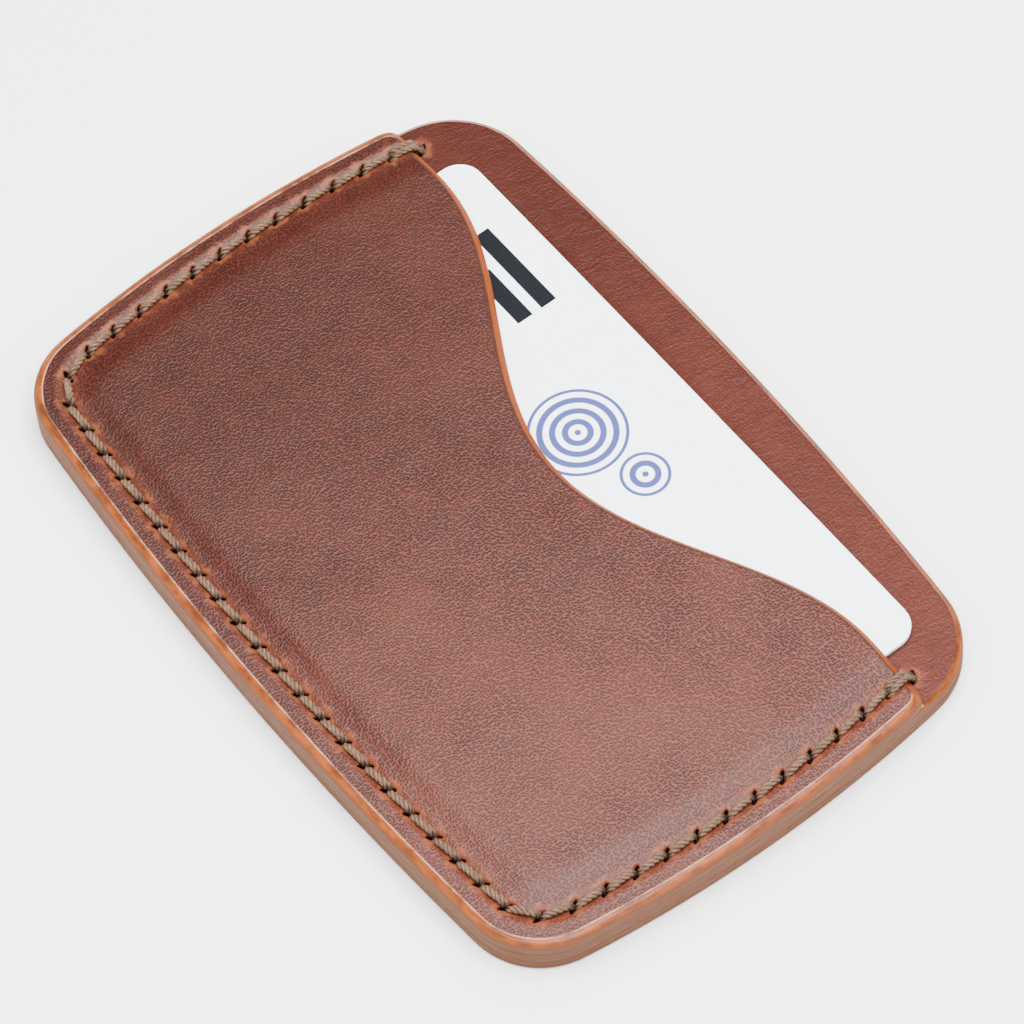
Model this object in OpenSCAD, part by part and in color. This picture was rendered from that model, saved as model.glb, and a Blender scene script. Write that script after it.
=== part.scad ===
// Slim stitched leather card wallet with one standard card in its front pocket.
// X runs along the wallet, Y towards the pocket's mouth, Z up out of the front face.
// The origin is the middle of the outline, on the surface that the wallet lies on.

/* [Wallet outline] */
// Length of the wallet across the middle of its short edges
wallet_w = 105.5; // [100:0.5:112]
// Height of the wallet across the middle of its long edges
wallet_h = 71.8; // [70:0.2:76]
// Distance below the middle at which the wallet is longest
widest_below = 1.3; // [0:0.1:2]
// Radius of the bowed short edges
short_edge_r = 175; // [120:10:300]
// Radius of the bowed long edge along the top
top_edge_r = 525; // [400:10:900]
// Radius of the bowed long edge along the bottom
bottom_edge_r = 505; // [400:5:900]
// Radius of the two top corners
top_corner_r = 11; // [8:0.5:13]
// Radius of the two bottom corners
bottom_corner_r = 10; // [8:0.5:12]

/* [Leather and cement] */
// Thickness of each of the three leather panels
leather_t = 1.7; // [1.6:0.1:2.2]
// Thickness of the cement film that joins two panels before they are sewn
cement_t = 0.1; // [0.06:0.02:0.16]
// Width of the cemented and sewn border
seam_w = 5.6; // [5.4:0.1:6]

/* [Front pocket] */
// Distance from the middle of the wallet up to the ends of the pocket's mouth
mouth_y = 23.3; // [21:0.1:24]
// Depth of the wave in the pocket's mouth, where a thumb reaches the card
dip_depth = 14.2; // [8:0.1:15]
// Length of the wave along the mouth
dip_w = 82; // [60:1:84]
// Room between the middle panel and the pocket's roof
pocket_gap = 0.95; // [0.9:0.01:1.2]

/* [Stitching] */
// Distance of the stitch line from the outer edge
stitch_inset = 3.9; // [3.8:0.1:4.2]
// Number of stitches along the left, bottom and right sides together
stitch_count = 49; // [40:1:52]
// Width of the thread
thread_w = 0.9; // [0.7:0.05:1]
// Thickness of the thread where it lies along the leather
thread_t = 0.6; // [0.5:0.05:0.7]
// Depth of the groove that the thread beds into on the front
front_groove = 0.4; // [0.3:0.05:0.5]
// Depth of the groove that the thread beds into on the back
back_groove = 0.7; // [0.7:0.05:0.9]

/* [Card] */
// Length of the card, the ISO ID-1 size
card_w = 85.6; // [85.4:0.1:85.8]
// Height of the card
card_h = 53.98; // [53.9:0.01:54.1]
// Radius of the card's corners
card_corner_r = 3.18; // [2.9:0.02:3.4]
// Thickness of the card's white core
card_core_t = 0.6; // [0.5:0.02:0.6]
// Thickness of the clear film on each face of the card
card_film_t = 0.08; // [0.04:0.01:0.08]
// Distance that the card lies to the right of the middle
card_x = 0.7; // [0:0.1:1]
// Distance that the card stands above the middle
card_y = 1.3; // [1:0.1:6]
// Angle that the card is turned by in its pocket
card_turn = 1; // [0:0.1:1]

/* [Hidden] */

// Room between the card and the middle panel that it lies on
card_clearance = 0.1;

// Heights of the layers above the table
back_top = leather_t;
middle_low = back_top + cement_t;
middle_top = middle_low + leather_t;
pocket_low = middle_top + cement_t;
flange_top = pocket_low + leather_t;
roof_low = middle_top + pocket_gap;
roof_top = roof_low + leather_t;
card_low = middle_top + card_clearance;

// Straight pieces that an edge's arc and a corner's arc are divided into
edge_steps = 12;
corner_steps = 14;
// Straight pieces in the wave of the mouth and in a corner of the card
mouth_steps = 64;
card_corner_steps = 9;

// How far the roof's edge laps over the border, and how far cement stays in from the edge
roof_lap = 0.8;
cement_inset = 0.3;
// How far up the two back panels are joined
back_seam_y = 28;

// The stitch line ends just past the pocket's mouth, on the middle panel. It takes no point
// of the inset outline that is nearer to its ends than end_gap.
stitch_end_y = mouth_y + 1.1;
end_gap = 0.5;
// Groove that the stitches bed into, and diamond holes that the thread passes through
groove_w = thread_w + 0.3;
hole_r = 0.7;
// The thread narrows to a waist over each hole, and its legs are slimmer than the holes.
// A leg's ends stay leg_sink inside the stitches.
thread_waist = 0.6;
thread_leg_r = 0.5;
leg_sink = 0.1;

// A cut runs past a face by this much
over = 1;

leather = "#8c4a3c";
cement = "#c9a26b";
waxed_thread = "#b08a6a";
card_white = "#f2f5f8";
film_clear = "#dfe8ee";

// ---- Outline -------------------------------------------------------------

// Points on an arc about a centre, with bearings measured clockwise from +Y.
// The last point is left for the next arc to begin with.
function arc(centre, r, from, to, steps) =
    [for (i = [0:steps - 1])
        let (t = from + (to - from) * i / steps)
        centre + r * [sin(t), cos(t)]];

// The crossing point with the larger x and y of two circles whose centres are a and b
function crossing(a, ra, b, rb) =
    let (d = norm(b - a),
         along = (ra * ra - rb * rb + d * d) / (2 * d),
         across = sqrt(ra * ra - along * along),
         u = (b - a) / d,
         p = a + along * u + across * [-u.y, u.x],
         q = a + along * u - across * [-u.y, u.x])
    p.x + p.y > q.x + q.y ? p : q;

function bearing(from, to) = atan2(to.x - from.x, to.y - from.y);

// A quarter of the outline, from the middle of a long edge round to a short edge's longest point,
// which lies side_y above the middle
function quarter(edge_r, corner_r, side_y, inset) =
    let (edge_c = [0, wallet_h / 2 - edge_r],
         side_c = [wallet_w / 2 - short_edge_r, side_y],
         corner_c = crossing(edge_c, edge_r - corner_r, side_c, short_edge_r - corner_r),
         from = bearing(edge_c, corner_c),
         to = bearing(side_c, corner_c))
    concat(arc(edge_c, edge_r - inset, 0, from, edge_steps),
           arc(corner_c, corner_r - inset, from, to, corner_steps),
           arc(side_c, short_edge_r - inset, to, 90, edge_steps));

function flipped(points, x, y) = [for (p = points) [p.x * x, p.y * y]];
function reversed(points) = [for (i = [len(points) - 1:-1:0]) points[i]];
function inner(points) = [for (i = [1:len(points) - 2]) points[i]];

// The whole outline, moved inwards by inset, clockwise from the middle of the top edge
function outline(inset) =
    let (top = quarter(top_edge_r, top_corner_r, -widest_below, inset),
         bottom = flipped(quarter(bottom_edge_r, bottom_corner_r, widest_below, inset), 1, -1),
         right = concat(top, [[wallet_w / 2 - inset, -widest_below]], reversed(bottom)))
    concat(right, flipped(reversed(inner(right)), -1, 1));

// ---- Pocket mouth --------------------------------------------------------

// Height of the pocket's mouth at x: level near the sides, with one smooth wave between them
function mouth(x) =
    mouth_y - (abs(x) < dip_w / 2 ? dip_depth * (1 + cos(360 * x / dip_w)) / 2 : 0);

function below_mouth() =
    concat([for (i = [0:mouth_steps])
               let (x = dip_w * (i / mouth_steps - 0.5))
               [x, mouth(x)]],
           [[wallet_w, mouth_y], [wallet_w, -wallet_h], [-wallet_w, -wallet_h], [-wallet_w, mouth_y]]);

// ---- Stitch line ---------------------------------------------------------

function side_x(y) =
    wallet_w / 2 - short_edge_r + sqrt(pow(short_edge_r - stitch_inset, 2) - pow(y + widest_below, 2));

// The stitch line, from the left end down, along the bottom and up to the right end
stitch_line = concat(
    [[-side_x(stitch_end_y), stitch_end_y]],
    [for (p = reversed(outline(stitch_inset))) if (p.y < stitch_end_y - end_gap) p],
    [[side_x(stitch_end_y), stitch_end_y]]);

// Distance along the stitch line to each of its points
run_to = [for (i = 0, s = 0;
               i < len(stitch_line);
               s = s + (i + 1 < len(stitch_line) ? norm(stitch_line[i + 1] - stitch_line[i]) : 0), i = i + 1)
             s];
pitch = run_to[len(run_to) - 1] / stitch_count;
x_along = [for (i = [0:len(run_to) - 1]) [run_to[i], stitch_line[i].x]];
y_along = [for (i = [0:len(run_to) - 1]) [run_to[i], stitch_line[i].y]];
holes = [for (k = [0:stitch_count]) [lookup(k * pitch, x_along), lookup(k * pitch, y_along)]];

// The way that stitch k points, from its first hole to its second
function heading(k) =
    let (i = min(k, stitch_count - 1),
         step = holes[i + 1] - holes[i])
    atan2(step.y, step.x);

// The change of direction at hole k
function turn(k) =
    k < 1 || k >= stitch_count ? 0 : (heading(k) - heading(k - 1) + 540) % 360 - 180;

// The point beside hole k at half_width from a line through the holes, mitred at a turn.
// A side of 1 is to the left of the line and -1 to its right, and past moves it along the line.
function beside(k, half_width, side, past = 0) =
    let (t = heading(k) - turn(k) / 2)
    holes[k] + past * [cos(t), sin(t)] + side * half_width / cos(turn(k) / 2) * [-sin(t), cos(t)];

// One side of the groove, which runs past both ends
function groove_side(side) =
    [for (k = [0:stitch_count])
        beside(k, groove_w / 2, side,
               k == 0 ? -groove_w / 2 : k == stitch_count ? groove_w / 2 : 0)];

// One side of the row of stitches: narrow at each hole and full width between holes
function thread_side(side) =
    [for (k = [0:stitch_count])
        each concat([beside(k, thread_waist / 2, side)],
                    k == stitch_count ? [] :
                    [(holes[k] + holes[k + 1]) / 2
                     + side * thread_w / 2 * [-sin(heading(k)), cos(heading(k))]])];

// A block along the stitch line, from its left side and its right side
module strip(left, right, low, high) {
    translate([0, 0, low])
        linear_extrude(high - low)
            polygon(concat(left, reversed(right)));
}

module groove(low, high) {
    strip(groove_side(1), groove_side(-1), low, high);
}

module stitches(low) {
    strip(thread_side(1), thread_side(-1), low, low + thread_t);
}

// A diamond prism at every hole, with its points along the stitch line
module diamonds(r, low, high) {
    for (k = [0:stitch_count])
        translate([holes[k].x, holes[k].y, low])
            rotate(heading(k))
                cylinder(h = high - low, r = r, $fn = 4);
}

// ---- Shared shapes -------------------------------------------------------

module slab(inset, low, high) {
    translate([0, 0, low])
        linear_extrude(high - low)
            polygon(outline(inset));
}

// Everything below the pocket's mouth, as a block to cut with
module mouth_block(low, high) {
    translate([0, 0, low])
        linear_extrude(high - low)
            polygon(below_mouth());
}

// A U of the border's width along the left, bottom and right sides, up to top_y
module seam_u(from_inset, low, high, top_y) {
    difference() {
        slab(from_inset, low, high);
        slab(seam_w, low - over, high + over);
        translate([-wallet_w, top_y, low - over])
            cube([2 * wallet_w, wallet_h, high - low + 2 * over]);
    }
}

// A quarter turn round one corner of the card, with both of its ends
function card_corner(q) =
    let (c = [(q < 2 ? 1 : -1) * (card_w / 2 - card_corner_r),
              (q == 0 || q == 3 ? 1 : -1) * (card_h / 2 - card_corner_r)],
         end = 90 * (q + 1))
    concat(arc(c, card_corner_r, 90 * q, end, card_corner_steps),
           [c + card_corner_r * [sin(end), cos(end)]]);

// One layer of the card
module card_sheet(low, thickness) {
    translate([card_x, card_y, low])
        rotate(card_turn)
            linear_extrude(thickness)
                polygon([for (q = [0:3]) each card_corner(q)]);
}

// ---- Leather panels ------------------------------------------------------

module back_panel() {
    color(leather)
        difference() {
            slab(0, 0, back_top);
            diamonds(hole_r, -over, back_top + over);
            groove(-over, back_groove);
        }
}

module middle_panel() {
    color(leather)
        difference() {
            slab(0, middle_low, middle_top);
            diamonds(hole_r, middle_low - over, middle_top + over);
        }
}

// A flat sewn border with a roof raised over the card
module front_pocket() {
    color(leather)
        difference() {
            intersection() {
                union() {
                    slab(0, pocket_low, flange_top);
                    slab(seam_w - roof_lap, roof_low, roof_top);
                }
                mouth_block(pocket_low - over, roof_top + over);
            }
            slab(seam_w, pocket_low - over, roof_low);
            diamonds(hole_r, pocket_low - over, flange_top + over);
            groove(flange_top - front_groove, flange_top + over);
        }
}

// ---- Cement and thread ---------------------------------------------------

module back_seam_cement() {
    color(cement)
        difference() {
            seam_u(cement_inset, back_top, middle_low, back_seam_y);
            diamonds(hole_r, back_top - over, middle_low + over);
        }
}

module pocket_seam_cement() {
    color(cement)
        difference() {
            seam_u(cement_inset, middle_top, pocket_low, mouth_y - cement_inset);
            diamonds(hole_r, middle_top - over, pocket_low + over);
        }
}

// One length of waxed thread: a stitch on each face between every two holes
module thread() {
    front_low = flange_top - front_groove;
    back_low = back_groove - thread_t;
    color(waxed_thread)
        union() {
            stitches(front_low);
            stitches(back_low);
            diamonds(thread_leg_r, back_low + leg_sink, front_low + thread_t - leg_sink);
        }
}

// ---- Card ----------------------------------------------------------------

module card_back_film() {
    color(film_clear)
        card_sheet(card_low, card_film_t);
}

module card_core() {
    color(card_white)
        card_sheet(card_low + card_film_t, card_core_t);
}

module card_front_film() {
    color(film_clear)
        card_sheet(card_low + card_film_t + card_core_t, card_film_t);
}

back_panel();
back_seam_cement();
middle_panel();
pocket_seam_cement();
front_pocket();
thread();
card_core();
card_front_film();
card_back_film();
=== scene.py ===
"""Looks for a stitched leather card wallet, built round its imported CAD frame.

Lengths inside the geometry functions are in millimetres, in the frame's own axes: X along the
wallet, Y towards the pocket's mouth, Z up out of the front face. Meshes are scaled to metres
when they are made. Colours are linear RGB.
"""
import math

import bpy
import numpy as np
from mathutils import Matrix, Vector, geometry, kdtree, noise


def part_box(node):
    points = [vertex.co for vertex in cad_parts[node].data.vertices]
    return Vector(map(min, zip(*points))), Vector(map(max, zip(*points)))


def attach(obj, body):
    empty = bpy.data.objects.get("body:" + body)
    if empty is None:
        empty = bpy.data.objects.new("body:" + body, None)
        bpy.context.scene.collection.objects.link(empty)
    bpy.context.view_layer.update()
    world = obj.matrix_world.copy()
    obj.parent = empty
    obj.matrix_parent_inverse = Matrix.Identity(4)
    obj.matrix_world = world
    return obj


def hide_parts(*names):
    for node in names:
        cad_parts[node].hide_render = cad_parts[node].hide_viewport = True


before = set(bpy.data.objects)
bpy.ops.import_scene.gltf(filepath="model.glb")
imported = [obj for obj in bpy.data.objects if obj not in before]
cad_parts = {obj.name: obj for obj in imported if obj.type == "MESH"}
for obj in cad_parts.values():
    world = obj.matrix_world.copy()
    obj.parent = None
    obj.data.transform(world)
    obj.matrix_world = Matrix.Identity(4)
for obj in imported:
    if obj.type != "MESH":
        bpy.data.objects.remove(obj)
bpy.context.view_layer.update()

MM = 0.001


def node_box(name):
    """Lowest and highest corner of a CAD node, in millimetres."""
    low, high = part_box(name)
    return np.array(low) / MM, np.array(high) / MM


# ---------------------------------------------------------------- dimensions
BACK_LOW, BACK_HIGH = node_box("back_panel")
MIDDLE_LOW, MIDDLE_HIGH = node_box("middle_panel")
POCKET_LOW, POCKET_HIGH = node_box("front_pocket")

WALLET_W = BACK_HIGH[0] - BACK_LOW[0]
WALLET_H = BACK_HIGH[1] - BACK_LOW[1]
LEATHER_T = BACK_HIGH[2] - BACK_LOW[2]
FLANGE_TOP = POCKET_LOW[2] + LEATHER_T       # top of the sewn border
ROOF_RISE = POCKET_HIGH[2] - FLANGE_TOP      # how far the pocket swells over the card
MOUTH_Y = POCKET_HIGH[1]                     # level of the mouth beside the side seams

# Outline arcs, as in the CAD source
WIDEST_BELOW = 1.3
SHORT_EDGE_R = 175.0
TOP_EDGE_R = 525.0
BOTTOM_EDGE_R = 505.0
TOP_CORNER_R = 11.0
BOTTOM_CORNER_R = 10.0
EDGE_STEPS, CORNER_STEPS = 60, 30
WAVE_POINTS, BEND_STEPS = 400, 9
DIP_DEPTH = 14.2
DIP_W = 82.0

STITCH_INSET = 3.9
STITCH_COUNT = 49
STITCH_END_Y = MOUTH_Y + 1.1

CARD_W, CARD_H, CARD_CORNER_R = 85.6, 53.98, 3.18
CARD_X, CARD_Y, CARD_TURN = 0.7, 1.3, math.radians(1.0)
CARD_BOTTOM = node_box("card_back_film")[0][2]
CARD_TOP = node_box("card_front_film")[1][2]
CARD_EDGE_ROUND = 0.07    # how far the card's faces stay inside its outline
CARD_ARCH = 0.28          # rise of the card's middle over its ends
ARCH_HALF = 44.0          # half the length that the arch spans
ROOF_THINNED = 0.22       # how much thinner the stretched leather is over the card

# Where the leather starts to rise over the card and where it's up, measured inwards from the edge
POCKET_SWELL = (4.5, 8.5)
POCKET_HOLLOW = (5.3, 6.9)
MIDDLE_SWELL = (6.0, 10.0)

# Heights over the ends of the front mouth, between which the middle panel turns bare and the
# rear pocket's two panels come apart
BARE_STRETCH = (-0.6, 0.5)
REAR_MOUTH = (1, 5)

# Unevenness of the leather: its height, the size of its features and a seed
POCKET_WAVES = ((0.05, 9.0, 1.7), (0.02, 2.5, 5.1))
BARE_WAVES = (0.03, 7.0, 8.3)
BARE_WAVES_FADE = (6, 9)

# How wide and deep each kind of bevel is, and the share of it that is a flat chamfer
SEWN_BEVEL = (1.2, 0.85, 0.2)
MOUTH_BEVEL = (0.95, 1.15, 0.8)
BARE_BEVEL = (0.8, 0.8, 0.4)
BACK_BEVEL = (0.9, 0.5, 0.2)
INNER_BEVEL = (0.5, 0.3, 0.2)
MOUTH_BLEND = (0.15, 1.6)  # over which the sewn edge's bevel turns into the mouth's
MOUTH_CORNER_R = 1.8      # rounding where the mouth meets the side edges
EDGE_ROUND = 0.035        # how far a wall's rims stay inside the outline
SEAL_DEPTH = 0.045        # how far the layers are pressed together at the burnished edge
SEAL_FADE = (0.1, 0.5)

# The stitch groove, the low lip on each side of it and the funnel at each hole
GROOVE_DEPTH, GROOVE_W = 0.24, 0.6
LIP_RISE, LIP_PLACE, LIP_W = 0.09, 1.3, 0.5
FUNNEL_DEPTH, FUNNEL_R = 0.2, 0.7
BACK_GROOVE = 1.7         # how many times deeper the groove is on the back

SLIT_HALF, SLIT_HALF_W = 1.08, 0.4
SLIT_ANGLE = math.radians(47)

PLIES, PLY_SIDES = 3, 9
PLY_R, PLY_ORBIT, TWIST_LENGTH = 0.225, 0.24, 2.1
PLY_SPREAD, PLY_LIFT = 1.12, 0.9
STITCH_POINTS, END_STITCH_POINTS = 34, 40
FRONT_SLANT, SLANT_WOBBLE, BACK_SLANT = 0.2, 0.06, 0.1
BACK_STITCH_RISE = 0.68   # level of the back stitches over the underside
BACK_THICK, END_THICK = 0.92, 0.88
END_SHIFT = 0.36          # how far the two end stitches lie to each side of the line


# ---------------------------------------------------------------- outline
def arc(centre, r, start, stop, steps):
    """Points on an arc, with bearings from +Y. The last point is left out."""
    t = start + (stop - start) * np.arange(steps) / steps
    return np.array(centre) + r * np.stack([np.sin(t), np.cos(t)], 1)


def crossing(a, ra, b, rb):
    """The crossing point with the larger x + y of two circles."""
    d = np.linalg.norm(b - a)
    along = (ra * ra - rb * rb + d * d) / (2 * d)
    across = math.sqrt(ra * ra - along * along)
    u = (b - a) / d
    side = across * np.array([-u[1], u[0]])
    p, q = a + along * u + side, a + along * u - side
    return p if p.sum() > q.sum() else q


def quarter(edge_r, corner_r, side_y, inset):
    """A quarter of the outline, from the middle of a long edge to a short edge."""
    edge_c = np.array([0, WALLET_H / 2 - edge_r])
    side_c = np.array([WALLET_W / 2 - SHORT_EDGE_R, side_y])
    corner_c = crossing(edge_c, edge_r - corner_r, side_c, SHORT_EDGE_R - corner_r)
    start = math.atan2(*(corner_c - edge_c))
    stop = math.atan2(*(corner_c - side_c))
    return np.concatenate([
        arc(edge_c, edge_r - inset, 0, start, EDGE_STEPS),
        arc(corner_c, corner_r - inset, start, stop, CORNER_STEPS),
        arc(side_c, SHORT_EDGE_R - inset, stop, math.pi / 2, EDGE_STEPS)])


def outline(inset):
    """The whole outline moved inwards, clockwise from the middle of the top edge."""
    top = quarter(TOP_EDGE_R, TOP_CORNER_R, -WIDEST_BELOW, inset)
    bottom = quarter(BOTTOM_EDGE_R, BOTTOM_CORNER_R, WIDEST_BELOW, inset) * [1, -1]
    widest = [[WALLET_W / 2 - inset, -WIDEST_BELOW]]
    right = np.concatenate([top, widest, bottom[::-1]])
    return np.concatenate([right, right[1:-1][::-1] * [-1, 1]])


def mouth_height(x):
    """Height of the pocket's mouth at x."""
    wave = DIP_DEPTH * (1 + np.cos(2 * math.pi * x / DIP_W)) / 2
    return MOUTH_Y - np.where(np.abs(x) < DIP_W / 2, wave, 0)


def distance_along(line):
    """Distance from a line's first point to each of its points."""
    return np.concatenate([[0], np.cumsum(np.linalg.norm(np.diff(line, axis=0), axis=1))])


def resample(points, step, closed):
    """Points at an even step along a line."""
    line = np.concatenate([points, points[:1]]) if closed else np.asarray(points)
    run = distance_along(line)
    count = max(2, round(run[-1] / step))
    at = np.linspace(0, run[-1], count + 1)
    if closed:
        at = at[:-1]
    return np.stack([np.interp(at, run, line[:, i]) for i in range(line.shape[1])], 1)


def side_x(y):
    """Half the length of the stitch line at y."""
    r = SHORT_EDGE_R - STITCH_INSET
    return WALLET_W / 2 - SHORT_EDGE_R + math.sqrt(r * r - (y + WIDEST_BELOW) ** 2)


def stitch_line():
    """The stitch line, from the left end down, along the bottom and up to the right end."""
    loop = outline(STITCH_INSET)[::-1]
    first = int(np.argmax(loop[:, 1]))
    loop = np.roll(loop, -first, axis=0)
    end_x, end_gap = side_x(STITCH_END_Y), 0.2
    below = loop[loop[:, 1] < STITCH_END_Y - end_gap]
    return np.concatenate([[[-end_x, STITCH_END_Y]], below, [[end_x, STITCH_END_Y]]])


def pocket_outline(inset):
    """The front pocket's outline: the wallet's outline below the mouth, closed by the wave.
    The two corners between them are rounded."""
    body = outline(inset)
    top = MOUTH_Y - inset
    upwards = body[:2 * EDGE_STEPS + CORNER_STEPS][::-1]
    end_x = np.interp(top, upwards[:, 1], upwards[:, 0])
    below = body[body[:, 1] < top - MOUTH_CORNER_R]
    x = np.linspace(MOUTH_CORNER_R - end_x, end_x - MOUTH_CORNER_R, WAVE_POINTS)
    wave = np.stack([x, mouth_height(x) - inset], 1)
    left_end = bend(below[-1], np.array([-end_x, top]), wave[0])
    right_end = bend(wave[-1], np.array([end_x, top]), below[0])
    return np.concatenate([below, left_end, wave, right_end])


def bend(start, corner, stop):
    """Points of a soft bend from start to stop, drawn towards a corner."""
    t = np.linspace(0, 1, BEND_STEPS + 1)[1:-1, None]
    return (1 - t) ** 2 * start + 2 * t * (1 - t) * corner + t ** 2 * stop


# ---------------------------------------------------------------- distances
LINE_STEP = 0.35


class Line:
    """A line of straight pieces that can be asked how far points are from it."""

    def __init__(self, points, closed):
        self.points = resample(points, LINE_STEP, closed)
        count = len(self.points)
        self.tree = kdtree.KDTree(count)
        for i, p in enumerate(self.points):
            self.tree.insert((*p, 0), i)
        self.tree.balance()
        step = np.arange(count)
        self.after = (step + 1) % count if closed else np.minimum(step + 1, count - 1)
        self.before = (step - 1) % count if closed else np.maximum(step - 1, 0)

    def distance(self, plan):
        """Distance from each plan point to the line."""
        nearest = np.array([self.tree.find((p[0], p[1], 0))[1] for p in plan])
        here = self.points[nearest]
        gaps = []
        for other in (self.points[self.after[nearest]], self.points[self.before[nearest]]):
            along = other - here
            length2 = np.maximum((along ** 2).sum(1), 1e-12)
            t = np.clip(((plan - here) * along).sum(1) / length2, 0, 1)
            gaps.append(np.linalg.norm(plan - here - t[:, None] * along, axis=1))
        return np.minimum(*gaps)


def smoothstep(low, high, x):
    """0 up to low, 1 from high on, and a smooth step between them."""
    t = np.clip((x - low) / (high - low), 0, 1)
    return t * t * (3 - 2 * t)


def waves(points, size, seed):
    """Smooth noise between -1 and 1 over the plan, with features of about that size."""
    return np.array([noise.noise((p[0] / size, p[1] / size, seed)) for p in points])


def inward_normals(loop):
    """Unit normals of a clockwise loop, pointing inwards."""
    t = np.roll(loop, -1, axis=0) - np.roll(loop, 1, axis=0)
    n = np.stack([t[:, 1], -t[:, 0]], 1)
    return n / np.linalg.norm(n, axis=1)[:, None]


def inside(points, loop):
    """Which points are inside a closed loop."""
    result = np.zeros(len(points), bool)
    x, y = points.T
    for a, b in zip(loop, np.roll(loop, -1, axis=0)):
        if a[1] != b[1]:
            crosses = (a[1] > y) != (b[1] > y)
            result ^= crosses & (x < a[0] + (y - a[1]) * (b[0] - a[0]) / (b[1] - a[1]))
    return result


STITCHES = Line(stitch_line(), closed=False)
BODY_EDGE = Line(outline(0), closed=True)
SEAM_LENGTH = distance_along(stitch_line())[-1]
HOLES = resample(stitch_line(), SEAM_LENGTH / STITCH_COUNT, closed=False)


def hole_distance(plan):
    """Distance from each plan point to the nearest stitch hole."""
    return np.min([np.hypot(*(plan - hole).T) for hole in HOLES], axis=0)


def hex_grid(step):
    """Points of a triangular grid over the wallet."""
    rows = []
    y = -WALLET_H / 2
    while y < WALLET_H / 2:
        shift = step / 2 * (len(rows) % 2)
        x = np.arange(-WALLET_W / 2, WALLET_W / 2, step) + shift
        rows.append(np.stack([x, np.full_like(x, y)], 1))
        y += step * math.sqrt(3) / 2
    return np.concatenate(rows)


# ---------------------------------------------------------------- stitch slits
def hole_heading(k):
    """Direction of the stitch line at hole k, as an angle."""
    a, b = HOLES[max(k - 1, 0)], HOLES[min(k + 1, STITCH_COUNT)]
    return math.atan2(b[1] - a[1], b[0] - a[0])


# Rings of a slit, from its lip down: share of its length and width, how deep, how many points
SLIT_RINGS = ((1.0, 1.0, 0.0, 20), (0.88, 0.7, 0.5, 16), (0.7, 0.0, 1.1, 6))


def slit_points(which):
    """Points that shape the slits: x, y and how deep each one sinks."""
    rows = []
    for k in which:
        turn = hole_heading(k) + SLIT_ANGLE
        c, s = math.cos(turn), math.sin(turn)
        for long_share, wide_share, sink, count in SLIT_RINGS:
            t = np.linspace(0, 2 * math.pi, count, endpoint=False)
            u = SLIT_HALF * long_share * (np.cos(t) if wide_share else np.linspace(-1, 1, count))
            v = SLIT_HALF_W * wide_share * np.sin(t)
            x, y = HOLES[k][0] + c * u - s * v, HOLES[k][1] + s * u + c * v
            rows.append(np.stack([x, y, np.full(count, sink)], 1))
    return np.concatenate(rows)


def clear_of_slits(points, which, margin):
    """Which points are outside every slit, with a margin round it."""
    keep = np.ones(len(points), bool)
    for k in which:
        turn = hole_heading(k) + SLIT_ANGLE
        d = points - HOLES[k]
        u = d[:, 0] * math.cos(turn) + d[:, 1] * math.sin(turn)
        v = -d[:, 0] * math.sin(turn) + d[:, 1] * math.cos(turn)
        keep &= (u / (SLIT_HALF + margin)) ** 2 + (v / (SLIT_HALF_W + margin)) ** 2 > 1
    return keep


# ---------------------------------------------------------------- meshes
def new_object(name, vertices, faces, body, material):
    """A smooth-shaded mesh object from millimetre vertices, riding on a body."""
    mesh = bpy.data.meshes.new(name)
    mesh.from_pydata((np.asarray(vertices) * MM).tolist(), [], faces)
    mesh.polygons.foreach_set("use_smooth", [True] * len(mesh.polygons))
    mesh.update()
    obj = bpy.data.objects.new(name, mesh)
    bpy.context.scene.collection.objects.link(obj)
    mesh.materials.append(material)
    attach(obj, body)
    return obj


def set_attribute(obj, name, values):
    """A number at every vertex, for a material to read."""
    attribute = obj.data.attributes.new(name, "FLOAT", "POINT")
    attribute.data.foreach_set("value", np.asarray(values, np.float32))


BEVEL_STEPS = (0.05, 0.12, 0.22, 0.34, 0.48, 0.64, 0.82, 1.02, 1.24, 1.48)
COARSE, MEDIUM, FINE = 1.3, 0.6, 0.24
SEWN_BAND = 1.35          # half the width of the finely divided band along the stitches
COARSE_FROM_RIM, COARSE_FROM_SEAM = 7, 4
GRID_FROM_RIM = 1.65      # the grids start inside the bevel's own rings
SLIT_MARGIN = 0.09
FOLDED = 0.93             # a ring's point that is nearer to the rim than this share folds over


def rim_rings(loop, steps):
    """Copies of a loop at small distances inside it, without the parts that fold over."""
    normals, line = inward_normals(loop), Line(loop, closed=True)
    rings = []
    for step in steps:
        ring = loop + normals * step
        rings.append(ring[inside(ring, loop) & (line.distance(ring) > step * FOLDED)])
    return rings


def plan_points(loop, slits):
    """Points that fill a panel's plan, with how deep each one sinks: close together at its rim
    and its stitches."""
    line = Line(loop, closed=True)
    rows = [loop] + rim_rings(loop, BEVEL_STEPS)
    for step in (COARSE, MEDIUM, FINE):
        grid = hex_grid(step)
        grid = grid[inside(grid, loop)]
        rim, seam = line.distance(grid), STITCHES.distance(grid)
        fine = seam <= SEWN_BAND
        coarse = (rim > COARSE_FROM_RIM) & (seam > COARSE_FROM_SEAM)
        wanted = {COARSE: coarse, MEDIUM: ~coarse & ~fine, FINE: fine}[step]
        rows.append(grid[wanted & (rim > GRID_FROM_RIM)])
    points = np.concatenate(rows)
    keep = clear_of_slits(points, slits, SLIT_MARGIN)
    keep[:len(loop)] = True
    flat = np.c_[points[keep], np.zeros(keep.sum())]
    return np.concatenate([flat, slit_points(slits)])


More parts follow.
